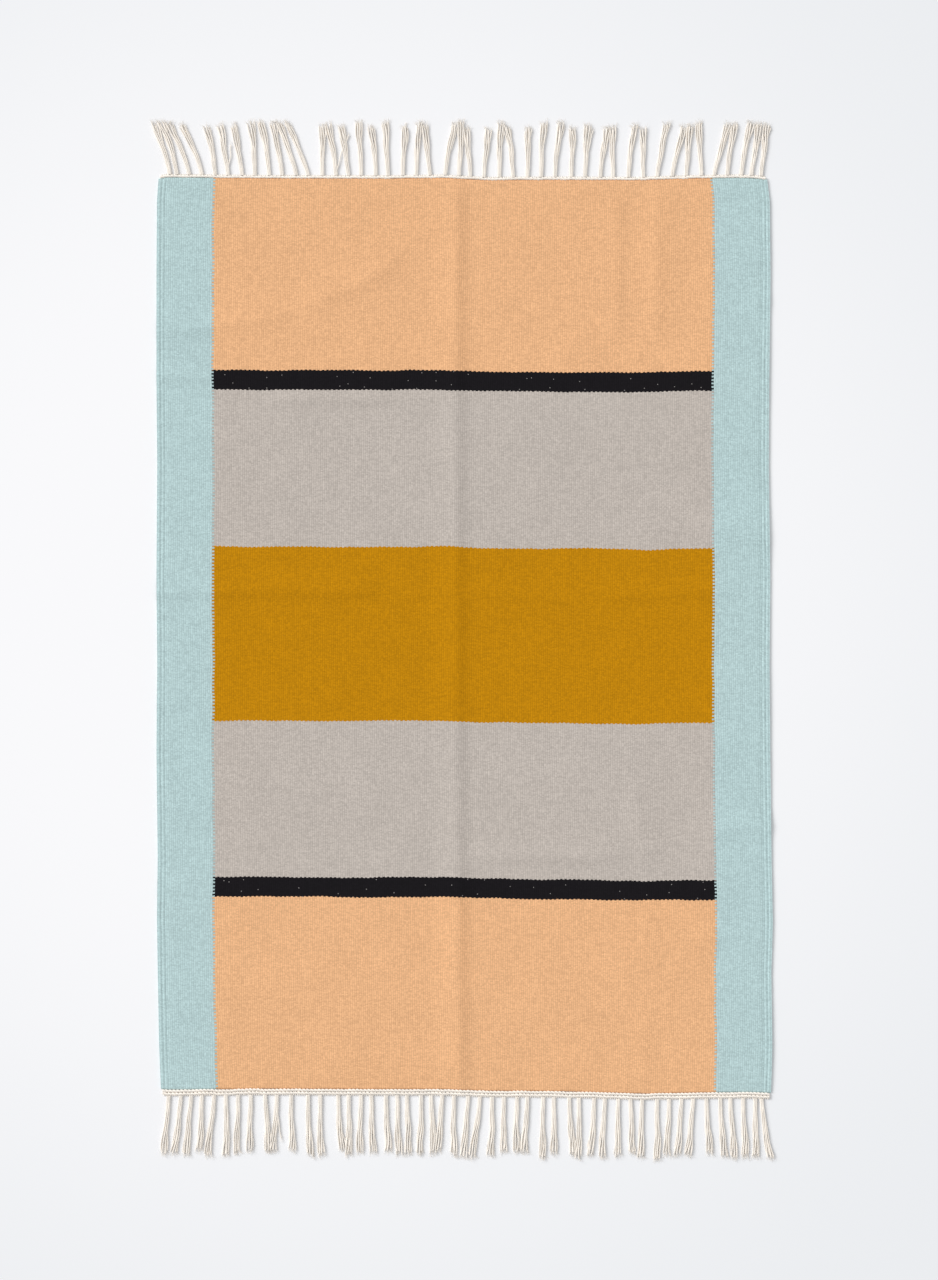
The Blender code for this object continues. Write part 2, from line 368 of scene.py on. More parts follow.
def woven_cloth():
    """The ground as one closed sheet on its folds, with its flat place kept as a UV map."""
    columns = graded(WIDTH / 2, CELL, SELVEDGE_PROFILE[-1][0] * MM, RIB_CELL)
    rows = graded(LENGTH / 2, CELL, 3 * END_CELL, END_CELL)
    sheet = bmesh.new()
    bmesh.ops.create_grid(
        sheet, x_segments=len(columns) - 1, y_segments=len(rows) - 1, size=1.0
    )
    for vertex in sheet.verts:
        column = round((vertex.co.x + 1) / 2 * (len(columns) - 1))
        row = round((vertex.co.y + 1) / 2 * (len(rows) - 1))
        vertex.co = (columns[column], rows[row], 0.0)
    raised = bmesh.ops.extrude_face_region(sheet, geom=sheet.faces[:])["geom"]
    for vertex in (item for item in raised if isinstance(item, bmesh.types.BMVert)):
        vertex.co.z = THICKNESS
    bmesh.ops.recalc_face_normals(sheet, faces=sheet.faces[:])
    mesh = bpy.data.meshes.new("woven_ground_cloth")
    sheet.to_mesh(mesh)
    sheet.free()

    flat = np.empty(len(mesh.vertices) * 3)
    mesh.vertices.foreach_get("co", flat)
    flat = flat.reshape(-1, 3)
    x, y, on_top = flat[:, 0], flat[:, 1], flat[:, 2] > THICKNESS / 2
    corners = np.empty(len(mesh.loops), int)
    mesh.loops.foreach_get("vertex_index", corners)
    place = mesh.uv_layers.new(name="flat_place")
    place.data.foreach_set("uv", flat[corners, :2].ravel())

    raise_by = lift(x, y) + unevenness(x, y)
    at_end = np.abs(y) > LENGTH / 2 - 1e-5
    thickness = np.where(at_end, EDGE_THICKNESS, THICKNESS + selvedge_rise(x) - pressed_down(x, y))
    wandered = np.stack([*outline(x, y), raise_by + np.where(on_top, thickness, 0.0)], axis=1)
    wandered[:, 1] += GROUND_SHIFT
    mesh.vertices.foreach_set("co", wandered.ravel())
    mesh.shade_smooth()
    mesh.set_sharp_from_angle(angle=math.radians(60))
    return new_object("woven_ground_cloth", mesh)


# Fringes: paths that the yarn follows, then Geometry Nodes that lay the yarn along them


def path_mesh(name, paths):
    """Open chains of points as one mesh of edges. Each path is its points, number and looseness."""
    points, edges, shares, numbers, loose = [], [], [], [], []
    for number, is_loose, line in paths:
        first = len(points)
        points += line
        edges += [(first + place, first + place + 1) for place in range(len(line) - 1)]
        shares += [place / (len(line) - 1) for place in range(len(line))]
        numbers += [number] * len(line)
        loose += [is_loose] * len(line)
    mesh = bpy.data.meshes.new(name)
    mesh.from_pydata(points, edges, [])
    for title, values in (("share", shares), ("number", numbers), ("loose", loose)):
        layer = mesh.attributes.new(title, "FLOAT", "POINT")
        layer.data.foreach_set("value", values)
    return new_object(name, mesh)


def tassel_line(root, tip, reach, band, end, curl):
    """One path from under the heading's outer cord to a tassel's tip on the floor."""
    edge_y = float(outline(root, end * LENGTH / 2)[1])
    line = []
    for place in range(PATH_POINTS):
        share = place / (PATH_POINTS - 1)
        out = share * reach
        wave = math.sin(share * 6.0 + curl) - math.sin(curl)
        x = root + (tip - root) * share**1.25 + wave * share * (1 - 0.6 * share) * 2.2 * MM
        y = edge_y + end * (SEAM_GAP + band - 0.0015 + out) + GROUND_SHIFT
        height = 3.0 - 0.6 * share
        height += float(lift(root, end * (LENGTH / 2 + out))) / MM
        line.append((x, y, height * MM))
    return line


def tassel_paths(name):
    """The middle lines of one fringe's tassels, with its stray yarns after them."""
    end, length, band, _ = HEADINGS[name]
    chance = random.Random(SEED + end)
    tassels = [
        (root * MM, tip * MM, length * MM + chance.uniform(-1, 1) * TIP_SCATTER)
        for root, tip in TASSELS[name]
    ]
    curls = [chance.uniform(0, 2 * math.pi) for _ in tassels]
    paths = []
    for number, ((root, tip, reach), curl) in enumerate(zip(tassels, curls)):
        paths.append((number, 0, tassel_line(root, tip, reach, band * MM, end, curl)))
    for number, swing, share in STRAYS[name]:
        root, _, reach = tassels[number]
        tip = root + swing * MM
        line = tassel_line(root, tip, reach * share, band * MM, end, curls[number] + 2)
        paths.append((number, 1, line))
    return path_mesh(name + "_paths", paths)


def cord_rows(name):
    """The middle lines of one heading's twined cords, which waver as hand-pulled cords do."""
    end, _, _, rows = HEADINGS[name]
    half = WIDTH / 2 - BAND_INSET + 0.001
    across = np.linspace(-half, half, 300)
    waver = np.array(
        [
            1.6 * noise.noise(Vector((x / 0.045, end, 0.0)))
            + 0.9 * noise.noise(Vector((x / 0.013, end, 5.0)))
            for x in across
        ]
    )
    paths = []
    for number, out in enumerate(rows):
        x, y = outline(across, np.full(len(across), end * LENGTH / 2))
        y = y + end * SEAM_GAP + (end * out + waver) * MM + GROUND_SHIFT
        z = lift(across, np.full(len(across), end * (LENGTH / 2 + out * MM))) + 3.0 * MM
        paths.append((number, 0, [tuple(map(float, point)) for point in zip(x, y, z)]))
    return path_mesh(name + "_rows", paths)


def warp_stubs(name):
    """Short straight warps that cross under one heading, out of the ground and into the tassels."""
    end, _, band, _ = HEADINGS[name]
    count = round(WIDTH / MM / WARP_PITCH) - 2
    paths = []
    for number, across in enumerate(np.linspace(-WIDTH / 2 + 0.006, WIDTH / 2 - 0.006, count)):
        x, y = (float(value) for value in outline(across, end * LENGTH / 2))
        height = float(lift(across, end * LENGTH / 2)) + 1.7 * MM
        line = [
            (x, y + end * (SEAM_GAP + out * MM) + GROUND_SHIFT, height)
            for out in (0.2, band / 2, band - 0.4)
        ]
        paths.append((number, 0, line))
    return path_mesh(name + "_stubs", paths)


def new_tree(name, sizes):
    """A Geometry Nodes tree with named number inputs, its group input and its group output."""
    tree = bpy.data.node_groups.new(name, "GeometryNodeTree")
    tree.interface.new_socket("Paths", in_out="INPUT", socket_type="NodeSocketGeometry")
    for title, value in sizes.items():
        kind = "NodeSocketInt" if isinstance(value, int) else "NodeSocketFloat"
        tree.interface.new_socket(title, in_out="INPUT", socket_type=kind).default_value = value
    tree.interface.new_socket("Yarn", in_out="OUTPUT", socket_type="NodeSocketGeometry")
    return tree, tree.nodes.new("NodeGroupInput"), tree.nodes.new("NodeGroupOutput")


def finish_tree(tree, yarn, group_output, material):
    """Smooth shading, Realize Instances and Set Material, as the last steps of a tree."""
    soft = add(tree, "GeometryNodeSetShadeSmooth", {"Geometry": yarn})
    real = add(tree, "GeometryNodeRealizeInstances", {"Geometry": soft})
    dressed = add(tree, "GeometryNodeSetMaterial", {"Geometry": real, "Material": material})
    tree.links.new(dressed.outputs[0], group_output.inputs[0])


def read(tree, title):
    """A named number stored on the paths."""
    return add(tree, "GeometryNodeInputNamedAttribute", {"Name": title}, data_type="FLOAT")


def spun_tube(tree, curves, radius, sides):
    """A yarn-thick tube along curves, with its way round and along kept for the material's twist."""
    length = add(tree, "GeometryNodeSplineParameter").outputs["Length"]
    marked = add(
        tree,
        "GeometryNodeStoreNamedAttribute",
        {"Geometry": curves, "Name": "along", "Value": length},
        data_type="FLOAT",
        domain="POINT",
    )
    ring = add(
        tree, "GeometryNodeCurvePrimitiveCircle", {"Resolution": sides, "Radius": 1.0}
    )
    around = add(tree, "GeometryNodeInputPosition")
    ring = add(
        tree,
        "GeometryNodeStoreNamedAttribute",
        {"Geometry": ring.outputs["Curve"], "Name": "around", "Value": around},
        data_type="FLOAT_VECTOR",
        domain="POINT",
    )
    return add(
        tree,
        "GeometryNodeCurveToMesh",
        {"Curve": marked, "Profile Curve": ring, "Scale": radius, "Fill Caps": True},
    )


def tassel_tree(material):
    """Bundles of plied yarns along their paths, loosening and fraying towards the tips."""
    tree, given, out = new_tree(
        "tassel yarns",
        {
            "Yarns": YARNS,
            "Yarn radius": YARN_RADIUS,
            "Root spread": 0.0030,
            "Tip spread": 0.0066,
            "Flatness": 0.30,
            "Twist": 1.2,
            "Tip scatter": 0.0042,
            "Wander": 0.0010,
            "Wisps": 5,
            "Wisp length": 0.0075,
        },
    )
    share = read(tree, "share").outputs["Attribute"]
    number = read(tree, "number").outputs["Attribute"]
    loose = read(tree, "loose").outputs["Attribute"]
    lines = add(tree, "GeometryNodeMeshToCurve", {"Mesh": given.outputs["Paths"]})
    copies = add(
        tree,
        "GeometryNodeDuplicateElements",
        {"Geometry": lines, "Amount": given.outputs["Yarns"]},
        domain="SPLINE",
    )
    index = copies.outputs["Duplicate Index"]
    # A stray yarn keeps one copy
    spare = add(tree, "ShaderNodeMath", {0: loose, 1: index}, operation="MULTIPLY")
    spare = add(tree, "ShaderNodeMath", {0: spare, 1: 0.5}, operation="GREATER_THAN")
    kept = add(
        tree,
        "GeometryNodeDeleteGeometry",
        {"Geometry": copies.outputs["Geometry"], "Selection": spare},
        domain="CURVE",
    )
    # One number for each yarn of each tassel
    own = add(tree, "ShaderNodeMath", {0: number, 1: 16.0, 2: index}, operation="MULTIPLY_ADD")
    chances = [
        add(
            tree,
            "FunctionNodeRandomValue",
            {2: -1.0, 3: 1.0, "ID": own, "Seed": seed},
            data_type="FLOAT",
        )
        for seed in (3, 8, 21)
    ]
    # The other yarns stand round the first
    outer = add(tree, "ShaderNodeMath", {0: index, 1: 1.0}, operation="MINIMUM")
    turn = add(tree, "ShaderNodeMath", {0: index, 1: math.tau / (YARNS - 1)}, operation="MULTIPLY")
    start = add(tree, "ShaderNodeMath", {0: number, 1: 2.4, 2: turn}, operation="MULTIPLY_ADD")
    angle = add(
        tree,
        "ShaderNodeMath",
        {0: share, 1: given.outputs["Twist"], 2: start},
        operation="MULTIPLY_ADD",
    )
    opening = add(tree, "ShaderNodeMath", {0: share, 1: 1.6}, operation="POWER")
    spread = add(
        tree,
        "ShaderNodeMapRange",
        {
            "Value": opening,
            "To Min": given.outputs["Root spread"],
            "To Max": given.outputs["Tip spread"],
        },
    )
    bound = add(tree, "ShaderNodeMath", {0: 1.0, 1: loose}, operation="SUBTRACT")
    outer = add(tree, "ShaderNodeMath", {0: outer, 1: bound}, operation="MULTIPLY")
    spread = add(tree, "ShaderNodeMath", {0: spread, 1: outer}, operation="MULTIPLY")
    sideways = add(tree, "ShaderNodeMath", {0: angle}, operation="COSINE")
    sideways = add(tree, "ShaderNodeMath", {0: sideways, 1: spread}, operation="MULTIPLY")
    wave = add(tree, "ShaderNodeMath", {0: chances[0], 1: 3.1}, operation="MULTIPLY")
    wave = add(tree, "ShaderNodeMath", {0: share, 1: 11.0, 2: wave}, operation="MULTIPLY_ADD")
    wave = add(tree, "ShaderNodeMath", {0: wave}, operation="SINE")
    wave = add(tree, "ShaderNodeMath", {0: wave, 1: share}, operation="MULTIPLY")
    sideways = add(
        tree,
        "ShaderNodeMath",
        {0: wave, 1: given.outputs["Wander"], 2: sideways},
        operation="MULTIPLY_ADD",
    )
    upward = add(tree, "ShaderNodeMath", {0: angle}, operation="SINE")
    upward = add(tree, "ShaderNodeMath", {0: upward, 1: spread}, operation="MULTIPLY")
    upward = add(
        tree,
        "ShaderNodeMath",
        {0: upward, 1: given.outputs["Flatness"]},
        operation="MULTIPLY",
    )
    late = add(tree, "ShaderNodeMath", {0: share, 1: 3.0}, operation="POWER")
    onward = add(tree, "ShaderNodeMath", {0: late, 1: chances[1]}, operation="MULTIPLY")
    onward = add(
        tree,
        "ShaderNodeMath",
        {0: onward, 1: given.outputs["Tip scatter"]},
        operation="MULTIPLY",
    )
    offset = add(tree, "ShaderNodeCombineXYZ", {"X": sideways, "Y": onward, "Z": upward})
    moved = add(tree, "GeometryNodeSetPosition", {"Geometry": kept, "Offset": offset})
    # No yarn sinks into the floor
    place = add(tree, "ShaderNodeSeparateXYZ", {0: add(tree, "GeometryNodeInputPosition")})
    height = add(
        tree,
        "ShaderNodeMath",
        {0: place.outputs["Z"], 1: given.outputs["Yarn radius"]},
        operation="MAXIMUM",
    )
    resting = add(
        tree,
        "ShaderNodeCombineXYZ",
        {"X": place.outputs["X"], "Y": place.outputs["Y"], "Z": height},
    )
    laid = add(tree, "GeometryNodeSetPosition", {"Geometry": moved, "Position": resting})
    radius = add(
        tree,
        "ShaderNodeMath",
        {0: chances[2], 1: 0.00008, 2: given.outputs["Yarn radius"]},
        operation="MULTIPLY_ADD",
    )
    yarns = spun_tube(tree, laid, radius, 6)

    # Frayed ends: thin fibres that fan out of each yarn's tip
    tips = add(tree, "ShaderNodeMath", {0: share, 1: 0.999}, operation="GREATER_THAN")
    ends = add(
        tree,
        "GeometryNodeCurveToPoints",
        {"Curve": laid},
        mode="EVALUATED",
    )
    fan = add(
        tree,
        "GeometryNodeDuplicateElements",
        {"Geometry": ends.outputs["Points"], "Selection": tips, "Amount": given.outputs["Wisps"]},
        domain="POINT",
    )
    fan_index = add(tree, "GeometryNodeInputIndex")
    angles = [
        add(
            tree,
            "FunctionNodeRandomValue",
            {2: low, 3: high, "ID": fan_index, "Seed": seed},
            data_type="FLOAT",
        )
        for low, high, seed in ((-0.8, 0.8, 5), (-0.14, 0.06, 6), (0.45, 1.25, 7))
    ]
    facing = add(tree, "GeometryNodeInputPosition")
    side = add(tree, "ShaderNodeSeparateXYZ", {0: facing})
    outward = add(tree, "ShaderNodeMath", {0: side.outputs["Y"]}, operation="SIGN")
    # A wisp lies along +X before it is turned to point out of the rug
    heading = add(
        tree,
        "ShaderNodeMath",
        {0: outward, 1: math.pi / 2, 2: angles[0]},
        operation="MULTIPLY_ADD",
    )
    rotation = add(tree, "ShaderNodeCombineXYZ", {"X": 0.0, "Y": angles[1], "Z": heading})
    fibre = add(
        tree,
        "GeometryNodeCurvePrimitiveBezierSegment",
        {
            "Resolution": 4,
            "Start": (-0.12, 0.0, 0.0),
            "Start Handle": (0.3, 0.0, 0.0),
            "End Handle": (0.6, 0.12, 0.02),
            "End": (1.0, 0.3, 0.0),
        },
    )
    fibre = spun_tube(tree, fibre, 0.022, 3)
    size = add(
        tree,
        "ShaderNodeMath",
        {0: angles[2], 1: given.outputs["Wisp length"]},
        operation="MULTIPLY",
    )
    wisps = add(
        tree,
        "GeometryNodeInstanceOnPoints",
        {
            "Points": fan.outputs["Geometry"],
            "Instance": fibre,
            "Rotation": rotation,
            "Scale": size,
        },
    )
    both = tree.nodes.new("GeometryNodeJoinGeometry")
    tree.links.new(yarns.outputs[0], both.inputs[0])
    tree.links.new(wisps.outputs[0], both.inputs[0])
    finish_tree(tree, both, out, material)
    return tree


def twined_tree(material):
    """Two plies turned about each other along each row, which is what twining shows."""
    tree, given, out = new_tree(
        "twined cords",
        {"Ply radius": 0.0017, "Turn radius": 0.0013, "Turn": 0.0150, "Step": 0.0013},
    )
    number = read(tree, "number").outputs["Attribute"]
    lines = add(tree, "GeometryNodeMeshToCurve", {"Mesh": given.outputs["Paths"]})
    spaced = add(
        tree,
        "GeometryNodeResampleCurve",
        {"Curve": lines, "Length": given.outputs["Step"]},
        mode="LENGTH",
    )
    copies = add(
        tree,
        "GeometryNodeDuplicateElements",
        {"Geometry": spaced, "Amount": 2},
        domain="SPLINE",
    )
    along = add(tree, "GeometryNodeSplineParameter").outputs["Length"]
    turns = add(
        tree, "ShaderNodeMath", {0: along, 1: given.outputs["Turn"]}, operation="DIVIDE"
    )
    half = add(
        tree,
        "ShaderNodeMath",
        {0: copies.outputs["Duplicate Index"], 1: math.pi, 2: number},
        operation="MULTIPLY_ADD",
    )
    angle = add(tree, "ShaderNodeMath", {0: turns, 1: math.tau, 2: half}, operation="MULTIPLY_ADD")
    swell = add(
        tree,
        "ShaderNodeTexNoise",
        {"Vector": add(tree, "GeometryNodeInputPosition"), "Scale": 90.0, "Detail": 1.0},
    )
    swell = add(
        tree,
        "ShaderNodeMapRange",
        {"Value": swell.outputs[0], "From Min": 0.25, "From Max": 0.75, "To Min": 0.75, "To Max": 1.25},
    )
    turn_radius = add(
        tree,
        "ShaderNodeMath",
        {0: swell.outputs["Result"], 1: given.outputs["Turn radius"]},
        operation="MULTIPLY",
    )
    sideways = add(tree, "ShaderNodeMath", {0: angle}, operation="COSINE")
    sideways = add(tree, "ShaderNodeMath", {0: sideways, 1: turn_radius}, operation="MULTIPLY")
    upward = add(tree, "ShaderNodeMath", {0: angle}, operation="SINE")
    upward = add(tree, "ShaderNodeMath", {0: upward, 1: turn_radius}, operation="MULTIPLY")
    offset = add(tree, "ShaderNodeCombineXYZ", {"X": 0.0, "Y": sideways, "Z": upward})
    turned = add(
        tree,
        "GeometryNodeSetPosition",
        {"Geometry": copies.outputs["Geometry"], "Offset": offset},
    )
    cords = spun_tube(tree, turned, given.outputs["Ply radius"], 6)
    finish_tree(tree, cords, out, material)
    return tree


def stub_tree(material):
    """The plain short warps under a heading."""
    tree, given, out = new_tree("warp stubs", {"Warp radius": 0.0013})
    lines = add(tree, "GeometryNodeMeshToCurve", {"Mesh": given.outputs["Paths"]})
    stubs = spun_tube(tree, lines, given.outputs["Warp radius"], 6)
    finish_tree(tree, stubs, out, material)
    return tree


def laid_along(paths, tree):
    """The mesh that a tree makes along its paths, which are then removed."""
    modifier = paths.modifiers.new(tree.name, "NODES")
    modifier.node_group = tree
    graph = bpy.context.evaluated_depsgraph_get()
    mesh = bpy.data.meshes.new_from_object(paths.evaluated_get(graph))
    bpy.data.objects.remove(paths, do_unlink=True)
    return mesh


# Materials


def weft_faced_wool():
    """Dull, dry wool: weft beads packed over warps, with the dye a little uneven from yarn to yarn."""
    material = bpy.data.materials.new("weft_faced_wool")
    material.use_nodes = True
    tree = material.node_tree
    shader = tree.nodes["Principled BSDF"]

    place = add(tree, "ShaderNodeUVMap", uv_map="flat_place")
    flat = add(tree, "ShaderNodeVectorMath", {0: place, "Scale": 1 / MM}, operation="SCALE")
    # Hand weaving wanders: rows of beads and ribs are never quite straight
    drift = add(tree, "ShaderNodeTexNoise", {"Vector": flat, "Scale": 0.012, "Detail": 2.0})
    drift = add(
        tree,
        "ShaderNodeVectorMath",
        {0: drift.outputs["Color"], 1: (0.5, 0.5, 0.5)},
        operation="SUBTRACT",
    )
    drifted = add(
        tree,
        "ShaderNodeVectorMath",
        {0: drift, 1: (5.0, 7.0, 0.0), 2: flat},
        operation="MULTIPLY_ADD",
    )
    shiver = add(tree, "ShaderNodeTexNoise", {"Vector": flat, "Scale": 0.11, "Detail": 1.0})
    shiver = add(
        tree,
        "ShaderNodeVectorMath",
        {0: shiver.outputs["Color"], 1: (0.5, 0.5, 0.5)},
        operation="SUBTRACT",
    )
    drifted = add(
        tree,
        "ShaderNodeVectorMath",
        {0: shiver, 1: (2.2, 1.4, 0.0), 2: drifted},
        operation="MULTIPLY_ADD",
    )
    axes = add(tree, "ShaderNodeSeparateXYZ", {0: drifted})
    across, lengthwise = axes.outputs["X"], axes.outputs["Y"]

    # Which warp, and how far across its rib
    warp = add(tree, "ShaderNodeMath", {0: across, 1: WARP_PITCH}, operation="DIVIDE")
    warp_number = add(tree, "ShaderNodeMath", {0: warp}, operation="FLOOR")
    rib_share = add(tree, "ShaderNodeMath", {0: warp}, operation="FRACT")
    odd = add(tree, "ShaderNodeMath", {0: warp_number, 1: 2.0}, operation="FLOORED_MODULO")
    # Beads on odd warps sit half a bead further along
    bead = add(tree, "ShaderNodeMath", {0: lengthwise, 1: BEAD_PITCH}, operation="DIVIDE")
    bead = add(tree, "ShaderNodeMath", {0: odd, 1: 0.5, 2: bead}, operation="MULTIPLY_ADD")
    bead_number = add(tree, "ShaderNodeMath", {0: bead}, operation="FLOOR")
    bead_share = add(tree, "ShaderNodeMath", {0: bead}, operation="FRACT")
    bead_middle = add(tree, "ShaderNodeMath", {0: bead_number, 1: 0.5}, operation="ADD")
    bead_middle = add(
        tree, "ShaderNodeMath", {0: odd, 1: -0.5, 2: bead_middle}, operation="MULTIPLY_ADD"
    )
    bead_middle = add(
        tree, "ShaderNodeMath", {0: bead_middle, 1: BEAD_PITCH}, operation="MULTIPLY"
    )

    # Bands across the field, mirrored about the middle, each edge stepping with the beads
    from_middle = add(tree, "ShaderNodeMath", {0: bead_middle}, operation="ABSOLUTE")
    scale = LENGTH / MM / 2
    band_place = add(tree, "ShaderNodeMath", {0: from_middle, 1: scale}, operation="DIVIDE")
    bands = add(tree, "ShaderNodeValToRGB", {"Fac": band_place})
    ramp = bands.color_ramp
    ramp.interpolation = "CONSTANT"
    ramp.elements[0].color = linear(MUSTARD)
    ramp.elements[1].position = BAND_EDGE_MM[0] / scale
    ramp.elements[1].color = linear(GREY)
    for edge, colour in zip(BAND_EDGE_MM[1:], (BLACK, PEACH)):
        ramp.elements.new(edge / scale).color = linear(colour)

    # The side borders join the field in dovetails, one warp deep
    warp_middle = add(tree, "ShaderNodeMath", {0: warp_number, 1: 0.5}, operation="ADD")
    warp_middle = add(
        tree, "ShaderNodeMath", {0: warp_middle, 1: WARP_PITCH}, operation="MULTIPLY"
    )
    from_centre = add(tree, "ShaderNodeMath", {0: warp_middle}, operation="ABSOLUTE")
    tooth = add(tree, "ShaderNodeMath", {0: lengthwise, 1: JOIN_TOOTH}, operation="DIVIDE")
    tooth = add(tree, "ShaderNodeMath", {0: tooth}, operation="FRACT")
    tooth = add(tree, "ShaderNodeMath", {0: tooth, 1: 0.5}, operation="GREATER_THAN")
    join = add(
        tree,
        "ShaderNodeMath",
        {0: tooth, 1: WARP_PITCH, 2: BORDER_INNER_MM},
        operation="MULTIPLY_ADD",
    )
    in_border = add(tree, "ShaderNodeMath", {0: from_centre, 1: join}, operation="GREATER_THAN")
    dyed = add(
        tree,
        "ShaderNodeMix",
        {0: in_border, 6: bands.outputs["Color"], 7: linear(MINT)},
        data_type="RGBA",
    )

    # Pale lint that shows on the black alone
    lint_cells = add(
        tree,
        "ShaderNodeTexVoronoi",
        {"Vector": flat, "Scale": 0.030},
        feature="F1",
        voronoi_dimensions="2D",
    )
    lint_near = add(
        tree,
        "ShaderNodeMath",
        {0: lint_cells.outputs["Distance"], 1: 0.028},
        operation="LESS_THAN",
    )
    luma = add(tree, "ShaderNodeRGBToBW", {0: dyed.outputs[2]})
    dark = add(tree, "ShaderNodeMath", {0: luma, 1: 0.05}, operation="LESS_THAN")
    lint = add(tree, "ShaderNodeMath", {0: lint_near, 1: dark}, operation="MULTIPLY")
    specked = add(
        tree,
        "ShaderNodeMix",
        {0: lint, 6: dyed.outputs[2], 7: linear(LINT)},
        data_type="RGBA",
    )

    # Tone: weft streaks across, warp streaks along, soft mottling, slubs, and single beads
    tones = []
    for stretch, strength, detail in (
        ((0.018, 0.24, 1.0), 0.035, 2.0),
        ((0.24, 0.030, 1.0), 0.040, 2.0),
        ((0.012, 0.010, 1.0), 0.020, 2.0),
        ((0.26, 0.36, 1.0), 0.060, 2.0),
    ):
        stretched = add(
            tree, "ShaderNodeVectorMath", {0: drifted, 1: stretch}, operation="MULTIPLY"
        )
        streak = add(
            tree, "ShaderNodeTexNoise", {"Vector": stretched, "Scale": 1.0, "Detail": detail}
        )
        tones.append(
            add(
                tree,
                "ShaderNodeMapRange",
                {
                    "Value": streak.outputs[0],
                    "From Min": 0.25,
                    "From Max": 0.75,
                    "To Min": 1 - strength,
                    "To Max": 1 + strength,
                },
            ).outputs["Result"]
        )
    bead_place = add(tree, "ShaderNodeCombineXYZ", {"X": warp_number, "Y": bead_number})
    single = add(tree, "ShaderNodeTexWhiteNoise", {"Vector": bead_place}, noise_dimensions="2D")
    tones.append(
        add(
            tree,
            "ShaderNodeMapRange",
            {"Value": single.outputs["Value"], "To Min": 0.90, "To Max": 1.10},
        ).outputs["Result"]
    )

    # Relief: a rounded rib over each warp, a rounded bead along it, and the yarn's own fibres
    ribbed = add(tree, "ShaderNodeMath", {0: rib_share, 1: math.pi}, operation="MULTIPLY")
    ribbed = add(tree, "ShaderNodeMath", {0: ribbed}, operation="SINE")
    beaded = add(tree, "ShaderNodeMath", {0: bead_share, 1: math.pi}, operation="MULTIPLY")
    beaded = add(tree, "ShaderNodeMath", {0: beaded}, operation="SINE")
    # The selvedge ribs are wrapped across, so only the beads show on them
    centred = add(tree, "ShaderNodeMath", {0: across}, operation="ABSOLUTE")
    in_selvedge = add(
        tree,
        "ShaderNodeMath",
        {0: centred, 1: SELVEDGE_INNER_MM},
        operation="GREATER_THAN",
    )
    ribbed = add(tree, "ShaderNodeMath", {0: ribbed, 1: in_selvedge}, operation="MAXIMUM")
    hollow = add(tree, "ShaderNodeMath", {0: ribbed, 1: 0.55}, operation="POWER")
    beaded = add(tree, "ShaderNodeMath", {0: beaded, 1: 0.5}, operation="POWER")
    relief = add(tree, "ShaderNodeMath", {0: hollow, 1: beaded}, operation="MULTIPLY")
    fibres = add(tree, "ShaderNodeTexNoise", {"Vector": flat, "Scale": 1.6, "Detail": 3.0})
    relief = add(
        tree,
        "ShaderNodeMath",
        {0: fibres.outputs[0], 1: 0.35, 2: relief},
        operation="MULTIPLY_ADD",
    )
    # Painted shade and light: the hollows between the warp ribs are darkened in the colour and the rib
    # crests are lightened
    painted_rib_shade = add(
        tree, "ShaderNodeMapRange", {"Value": hollow, "To Min": 0.84, "To Max": 1.095}
    )
    tones.append(painted_rib_shade.outputs["Result"])
    tone = tones[0]
    for more in tones[1:]:
        tone = add(tree, "ShaderNodeMath", {0: tone, 1: more}, operation="MULTIPLY")

    # Thin painted shadow lines: along each join, and between the ribs of each selvedge
    painted_shadow_lines = []
    for line_mm, half_width, depth in (
        (BORDER_INNER_MM + WARP_PITCH / 2, 2.2, 0.16),
        (592.0, 1.1, 0.30),
        (585.0, 1.1, 0.24),
    ):
        away = add(tree, "ShaderNodeMath", {0: centred, 1: line_mm}, operation="SUBTRACT")
        away = add(tree, "ShaderNodeMath", {0: away}, operation="ABSOLUTE")
        painted_shadow_lines.append(
            add(
                tree,
                "ShaderNodeMapRange",
                {"Value": away, "From Max": half_width, "To Min": 1 - depth, "To Max": 1.0},
            ).outputs["Result"]
        )
    for painted_shadow_line in painted_shadow_lines:
        tone = add(tree, "ShaderNodeMath", {0: tone, 1: painted_shadow_line}, operation="MULTIPLY")
    toned = add(
        tree, "ShaderNodeHueSaturation", {"Value": tone, "Color": specked.outputs[2]}
    )

    bump = add(
        tree,
        "ShaderNodeBump",
        {"Height": relief, "Strength": 0.55, "Distance": 0.6 * MM},
    )
    tree.links.new(toned.outputs[0], shader.inputs["Base Color"])
    tree.links.new(bump.outputs[0], shader.inputs["Normal"])
    shader.inputs["Roughness"].default_value = 0.95
    shader.inputs["Specular IOR Level"].default_value = 0.06
    shader.inputs["Sheen Weight"].default_value = 0.02
    shader.inputs["Sheen Roughness"].default_value = 0.6
    return material


